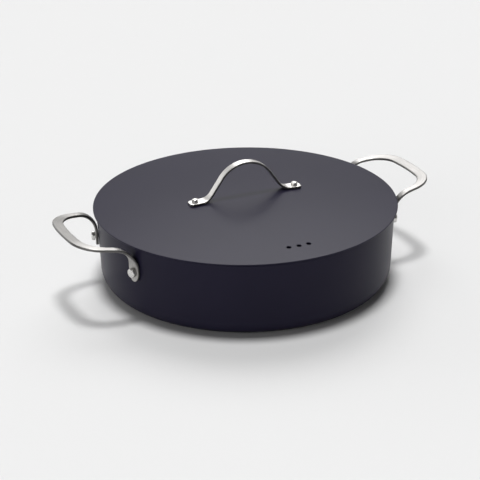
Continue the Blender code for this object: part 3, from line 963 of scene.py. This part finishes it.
def brushed_finish(name, shade):
    """Brushed steel of a shade, which is how much light it mirrors."""
    material, tree, shader = new_material(name)
    place = add_node(tree, "ShaderNodeUVMap", {"uv_map": "along_the_bar"}).outputs["UV"]
    stretched = add_node(tree, "ShaderNodeMapping", Vector=place, Scale=LINE_STRETCH)
    lines = noise(tree, stretched.outputs["Vector"], 1.0, 6)
    where = add_node(tree, "ShaderNodeTexCoord").outputs["Object"]
    cloud = noise(tree, where, BRUSHED_CLOUD_SCALE, 2)
    faces = mix_colours(tree, spread(tree, lines, 0, 1), STEEL_TINT * shade * DARK_LINE,
                        STEEL_TINT * shade * BRIGHT_LINE)
    # Mix in the painted shade on the rounded edges.
    edge = add_node(tree, "ShaderNodeAttribute", {"attribute_name": "painted_edge_shade"}).outputs["Fac"]
    colour = mix_colours(tree, edge, faces, STEEL_TINT * PAINTED_EDGE_SHADE)
    tree.links.new(colour, shader.inputs["Base Color"])
    tree.links.new(spread(tree, cloud, *BRUSHED_ROUGHNESS), shader.inputs["Roughness"])
    relief(tree, shader, lines, LINE_DEPTH)
    shader.inputs["Metallic"].default_value = 1.0
    shader.inputs["Anisotropic"].default_value = BRUSHED_ANISOTROPY
    shader.inputs["Anisotropic Rotation"].default_value = QUARTER_TURN
    tangent = add_node(tree, "ShaderNodeTangent", {"direction_type": "UV_MAP",
                                                   "uv_map": "along_the_bar"})
    tree.links.new(tangent.outputs["Tangent"], shader.inputs["Tangent"])
    return material


# One steel in two shades: the strap's brighter shade is painted light.
brushed = brushed_finish("brushed_steel_bar", 0.43)
bright = brushed_finish("strap_steel_painted_brighter", 0.75)
print("made", brushed.name, "and", bright.name)

# %% Make the satin steel
SATIN_DARK = (0.60, 0.59, 0.57)
SATIN_PALE = (0.68, 0.67, 0.655)
SATIN_ROUGHNESS = (0.24, 0.32)
SATIN_GRAIN_SCALE = 1800
SATIN_GRAIN = 0.03

satin, tree, shader = new_material("satin_rivet_steel")
where = add_node(tree, "ShaderNodeTexCoord").outputs["Object"]
grain = noise(tree, where, SATIN_GRAIN_SCALE, 3)
colour = mix_colours(tree, spread(tree, grain, 0, 1), SATIN_DARK, SATIN_PALE)
tree.links.new(colour, shader.inputs["Base Color"])
tree.links.new(spread(tree, grain, *SATIN_ROUGHNESS), shader.inputs["Roughness"])
relief(tree, shader, grain, SATIN_GRAIN)
shader.inputs["Metallic"].default_value = 1.0
print("made", satin.name)

# %% [markdown]
# ## Dress the frame
#
# Each modelled piece gets its finish, rides on the body that it belongs to, and replaces its
# node of the CAD model, which stays behind for the simulation.

# %% Ride, replace and paint
dressing = [(shell, "pan", "pan_body", dull, "anodised_aluminium"),
            (lid, "lid", "lid", anodised, "anodised_aluminium"),
            (strap, "lid", "lid_handle", bright, "brushed_steel")]
for name, loop in loops.items():
    dressing.append((loop, "pan", name + "_side_handle", brushed, "brushed_steel"))
for name, piece in rivets.items():
    body = "lid" if name.startswith("lid") else "pan"
    dressing.append((piece, body, name + "_rivet", satin, "rivet_steel"))
for piece, body, node, material, slot in dressing:
    piece.data.materials.clear()
    piece.data.materials.append(material)
    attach(piece, body)
    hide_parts(node)
    node_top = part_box(node)[1].z
    piece_top = max(corner[2] for corner in piece.bound_box)
    print(node, "CAD top", round(node_top, 5), "piece top", round(piece_top, 5))

# %% [markdown]
# ## Floor and lamp
#
# The pan stands on a plain pale floor. One large, soft lamp hangs straight above it. A sun
# lamp does this: its rays come down side by side, so the shadows of the loops lie right
# below them, and its angle is how wide the lamp looks, which softens their edges.

# %% Lay the floor
FLOOR_SIZE = 30
FLOOR_SHADE = 0.72

bpy.ops.object.select_all(action="DESELECT")
bpy.ops.mesh.primitive_plane_add(size=FLOOR_SIZE, location=(0, 0, pan_low.z))
floor = bpy.context.object
floor.name = "floor"
material, tree, shader = new_material("pale_floor")
shader.inputs["Base Color"].default_value = (FLOOR_SHADE, FLOOR_SHADE, FLOOR_SHADE, 1)
shader.inputs["Roughness"].default_value = 1.0
shader.inputs["Specular IOR Level"].default_value = 0.0
floor.data.materials.append(material)
print("floor at height", round(floor.location.z, 4))

# %% Hang the lamp
LAMP_ANGLE = radians(13.5)
LAMP_STRENGTH = 2.11

bpy.ops.object.light_add(type="SUN")
lamp = bpy.context.object
lamp.name = "overhead_light"
lamp.data.angle = LAMP_ANGLE
lamp.data.energy = LAMP_STRENGTH
print("the lamp looks", round(degrees(lamp.data.angle), 1), "degrees wide")

# %% [markdown]
# ## The studio round the pan
#
# Metal shows what it mirrors, so the room matters as much as the lamp. Its walls are a pale
# belt round the horizon, a little brighter on the far side and at the left and right, under
# a dark ceiling. A panel high up behind the pan makes the front of the lid glow, and two
# weaker ones lie low at the front left and the far left, for the bent steel to mirror. Lamps
# of a real size could do this. Here the world's own nodes do it from the direction of each
# ray, because then each panel is four numbers and none can get into the picture.

# %% Helpers for the studio
CAMERA_TURN = radians(-26)
FAR = Vector((-sin(CAMERA_TURN), cos(CAMERA_TURN), 0))
RIGHT = Vector((cos(CAMERA_TURN), sin(CAMERA_TURN), 0))

world = bpy.data.worlds.new("studio")
bpy.context.scene.world = world
world.use_nodes = True
studio = world.node_tree
ray = add_node(studio, "ShaderNodeTexCoord").outputs["Generated"]


def along(direction):
    """How far a ray goes along a direction, from -1 to 1."""
    node = add_node(studio, "ShaderNodeVectorMath", {"operation": "DOT_PRODUCT"})
    studio.links.new(ray, node.inputs[0])
    node.inputs[1].default_value = direction
    return node.outputs["Value"]


def fade(value, first, last, at_first, at_last):
    """A smooth change from one strength to another."""
    return add_node(studio, "ShaderNodeMapRange", {"interpolation_type": "SMOOTHSTEP"},
                    Value=value, From_Min=first, From_Max=last, To_Min=at_first,
                    To_Max=at_last).outputs["Result"]


def combine(operation, *values):
    """One number from two or three."""
    node = add_node(studio, "ShaderNodeMath", {"operation": operation})
    for socket, value in zip(node.inputs, values):
        fill(studio, socket, value)
    return node.outputs["Value"]


def panel(azimuth, elevation, radius, strength):
    """A soft round panel, in degrees. Its azimuth goes from the far side to the right."""
    azimuth, elevation, radius = (radians(angle) for angle in (azimuth, elevation, radius))
    level = FAR * cos(azimuth) + RIGHT * sin(azimuth)
    direction = level * cos(elevation) + Z * sin(elevation)
    return fade(along(direction), cos(radius), 1, 0, strength)


print("the far side is towards", [round(number, 3) for number in FAR])

# %% Light the walls and hang the panels
WALL_GLOW = 0.33
SIDE_GLOW = 0.1
FAR_GLOW = 0.12
CEILING_GLOW = 0.02
BELT_FADES_FROM = 0.22
BELT_ENDS_AT = 0.5
PANELS = {"high behind": (3, 48, 26, 5.1),
          "low front left": (-140, 10, 37, 1.4),
          "low far left": (-48, 17, 34, 1.1)}

sides = along(RIGHT)
walls = combine("MULTIPLY_ADD", combine("MULTIPLY", sides, sides), SIDE_GLOW, WALL_GLOW)
walls = combine("MULTIPLY_ADD", along(FAR), FAR_GLOW, walls)
belt = fade(along(Z), BELT_FADES_FROM, BELT_ENDS_AT, 1, 0)
light = combine("MULTIPLY_ADD", walls, belt, CEILING_GLOW)
for name, (azimuth, elevation, radius, strength) in PANELS.items():
    light = combine("ADD", light, panel(azimuth, elevation, radius, strength))
    print("panel", name, "of strength", strength)
background = studio.nodes["Background"]
studio.links.new(light, background.inputs["Strength"])
background.inputs["Color"].default_value = (1, 1, 1, 1)

# %% [markdown]
# ## The camera
#
# The camera looks down by 25 degrees from 1.7 metres away, through a long lens, so the pan's
# far side is drawn nearly as large as its near side. It stands 26 degrees to the left of the
# pan's front. Its numbers were fitted until the outlines of the lid and the pan lay on those
# in the photograph. The slight pan and roll at the end came out of that too.

# %% Place the camera
CAMERA_DISTANCE = 1.716
CAMERA_HEIGHT_ANGLE = radians(25.087)
LOOK_HEIGHT = 0.0370
CAMERA_PAN = radians(-0.19746)
CAMERA_ROLL = radians(-0.51828)
LENS = 123.01
SENSOR_WIDTH = 36

bpy.ops.object.camera_add()
camera = bpy.context.object
camera.data.lens = LENS
camera.data.sensor_width = SENSOR_WIDTH
place = Vector((sin(CAMERA_TURN) * cos(CAMERA_HEIGHT_ANGLE),
                -cos(CAMERA_TURN) * cos(CAMERA_HEIGHT_ANGLE), sin(CAMERA_HEIGHT_ANGLE)))
place *= CAMERA_DISTANCE
ahead = (Z * LOOK_HEIGHT - place).normalized()
right = ahead.cross(Z).normalized()
up = right.cross(ahead)
ahead, right = (ahead * cos(CAMERA_PAN) + right * sin(CAMERA_PAN),
                right * cos(CAMERA_PAN) - ahead * sin(CAMERA_PAN))
right, up = (right * cos(CAMERA_ROLL) + up * sin(CAMERA_ROLL),
             up * cos(CAMERA_ROLL) - right * sin(CAMERA_ROLL))
camera.matrix_world = (Matrix.Translation(place)
                       @ Matrix((right, up, -ahead)).transposed().to_4x4())
bpy.context.scene.camera = camera
bpy.context.scene.view_settings.view_transform = "Standard"
print("camera at", [round(number, 3) for number in camera.matrix_world.translation])
